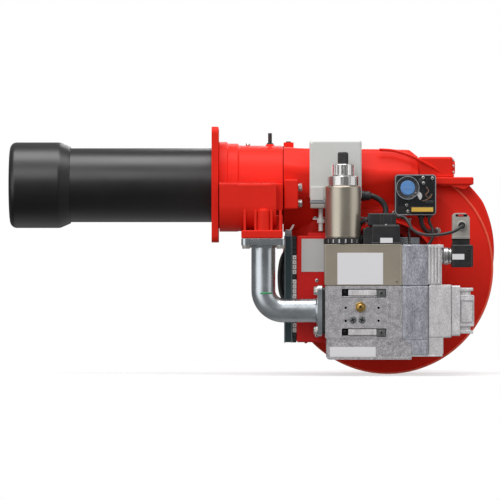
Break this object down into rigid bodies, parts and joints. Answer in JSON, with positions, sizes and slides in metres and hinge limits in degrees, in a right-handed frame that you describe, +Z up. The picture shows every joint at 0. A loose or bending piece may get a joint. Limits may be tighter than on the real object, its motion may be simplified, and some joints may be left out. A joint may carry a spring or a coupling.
{
  "type": "industrial gas burner",
  "caption": "Forced-draught gas burner: blast tube on a square flange, fan scroll with motor, and a solenoid gas train, with joints for swing, head, fan, damper and valve.",
  "frame": {"origin": "centre of the mounting flange's boiler-side face, on the blast tube's axis", "axes": "+X along the blast tube from the boiler back to the fan, +Z up, the gas train on the -Y side"},
  "size_m": [0.8698, 0.454, 0.441],
  "materials": {
    "red_paint": "glossy sprayed enamel over castings and pressed sheet",
    "black_plastic": "fine-textured moulding",
    "clear_cover": "clear",
    "dial_blue": "moulded",
    "lead_black": "soft black sheath",
    "tube_black": "satin heat-resistant black",
    "plain_steel": "turned and drawn steel",
    "cast_aluminium": "die-cast, fine grain",
    "red_plastic": "moulded red housing",
    "galvanised_steel": "zinc plated",
    "plug_grey": "grey moulding",
    "motor_aluminium": "extruded and cast, grey",
    "white_ceramic": "glazed",
    "white_plastic": "moulded",
    "grey_plastic": "light grey moulding",
    "beige_casing": "satin beige",
    "brass": "turned",
    "slate_channel": "dark slate, satin",
    "screw_zinc": "bright zinc screws",
    "label_pale": "bare pale plate",
    "seal_green": "thread seal",
    "label_yellow": "bare yellow plate"
  },
  "bodies": {
    "head": {"blast_tube": "tube_black", "head_sleeve": "tube_black", "mounting_flange": "red_paint", "head_housing": "red_paint", "gas_crossover": "cast_aluminium", "riser_flange": "cast_aluminium", "gas_pipe": "galvanised_steel", "outlet_flange": "cast_aluminium", "outlet_seal_plate": "black_plastic", "valve_body": "cast_aluminium", "valve_base": "cast_aluminium", "test_nipple": "brass", "terminal_box": "beige_casing", "coil_ring": "black_plastic", "solenoid_coil": "beige_casing", "coil_nut": "cast_aluminium", "core_tube": "plain_steel", "coil_plug": "black_plastic", "filter_housing": "cast_aluminium", "inlet_block": "cast_aluminium", "inlet_flange": "cast_aluminium", "gas_pressure_switch": "black_plastic", "din_connector": "plug_grey", "gas_switch_lead": "lead_black", "hinge_pin": "plain_steel"},
    "combustion_head": {"gas_tube": "plain_steel", "diffuser_disc": "plain_steel", "head_spider": "plain_steel", "ignition_electrode": "white_ceramic", "flame_probe": "white_ceramic", "lock_stud": "black_plastic"},
    "plunger": {"valve_plunger": "plain_steel"},
    "knob": {"flow_knob": "cast_aluminium", "knob_cap": "black_plastic"},
    "fan_unit": {"fan_casing": "red_paint", "clamp_bolt_1": "plain_steel", "clamp_bolt_2": "plain_steel", "rear_cover": "red_paint", "sight_glass": "clear_cover", "motor_plate": "red_paint", "fan_motor": "motor_aluminium", "motor_cowl": "black_plastic", "air_intake": "red_paint", "servo_motor": "grey_plastic", "air_switch_body": "black_plastic", "air_switch_cover": "clear_cover", "control_bracket": "plain_steel", "control_box": "red_plastic", "terminal_strip": "white_plastic", "wiring_channel": "slate_channel", "air_switch_lead": "lead_black", "servo_lead": "lead_black"},
    "rotor": {"fan_wheel": "galvanised_steel", "motor_shaft": "plain_steel"},
    "servo_arm": {"servo_lever": "white_plastic"},
    "link": {"tie_bar": "galvanised_steel"},
    "damper_1": {"damper_blade_1": "galvanised_steel"},
    "damper_2": {"damper_blade_2": "galvanised_steel"},
    "damper_3": {"damper_blade_3": "galvanised_steel"},
    "dial": {"air_switch_dial": "dial_blue"}
  },
  "joints": [
    {"name": "body_swing", "type": "hinge", "parent": "head", "child": "fan_unit", "pos_m": [0.1384, 0.084, 0], "axis": [0, 0, 1], "range_deg": [0, 60]},
    {"name": "head_slide", "type": "slide", "parent": "head", "child": "combustion_head", "axis": [1, 0, 0], "range_m": [-0.01, 0.01]},
    {"name": "plunger_lift", "type": "slide", "parent": "head", "child": "plunger", "axis": [0, 0, 1], "range_m": [0, 0.008], "stiffness_N_per_m": 800, "springref_m": -0.01},
    {"name": "flow_knob_turn", "type": "hinge", "parent": "head", "child": "knob", "pos_m": [0.233, -0.135, 0.0145], "axis": [0, 0, 1], "range_deg": [0, 340]},
    {"name": "fan_spin", "type": "hinge", "parent": "fan_unit", "child": "rotor", "pos_m": [0.315, 0.046, -0.149], "axis": [0, 1, 0], "continuous": true},
    {"name": "servo_turn", "type": "hinge", "parent": "fan_unit", "child": "servo_arm", "pos_m": [0.1945, -0.08, -0.0625], "axis": [0, 0, 1], "range_deg": [0, 90]},
    {"name": "tie_bar_swing", "type": "hinge", "parent": "servo_arm", "child": "link", "pos_m": [0.1846, -0.0701, -0.0597], "axis": [0, 0, 1], "range_deg": [-90, 0]},
    {"name": "damper_1_turn", "type": "hinge", "parent": "fan_unit", "child": "damper_1", "pos_m": [0.277, -0.059, -0.0625], "axis": [0, 0, 1], "range_deg": [0, 90]},
    {"name": "damper_2_turn", "type": "hinge", "parent": "fan_unit", "child": "damper_2", "pos_m": [0.315, -0.059, -0.0625], "axis": [0, 0, 1], "range_deg": [0, 90]},
    {"name": "damper_3_turn", "type": "hinge", "parent": "fan_unit", "child": "damper_3", "pos_m": [0.353, -0.059, -0.0625], "axis": [0, 0, 1], "range_deg": [0, 90]},
    {"name": "dial_turn", "type": "hinge", "parent": "fan_unit", "child": "dial", "pos_m": [0.349, -0.092, -0.006], "axis": [0, 1, 0], "range_deg": [-135, 135]}
  ],
  "couplings": [
    {"joint": "tie_bar_swing", "follows": "servo_turn", "ratio": -1},
    {"joint": "damper_1_turn", "follows": "servo_turn", "ratio": 1},
    {"joint": "damper_2_turn", "follows": "servo_turn", "ratio": 1},
    {"joint": "damper_3_turn", "follows": "servo_turn", "ratio": 1}
  ]
}
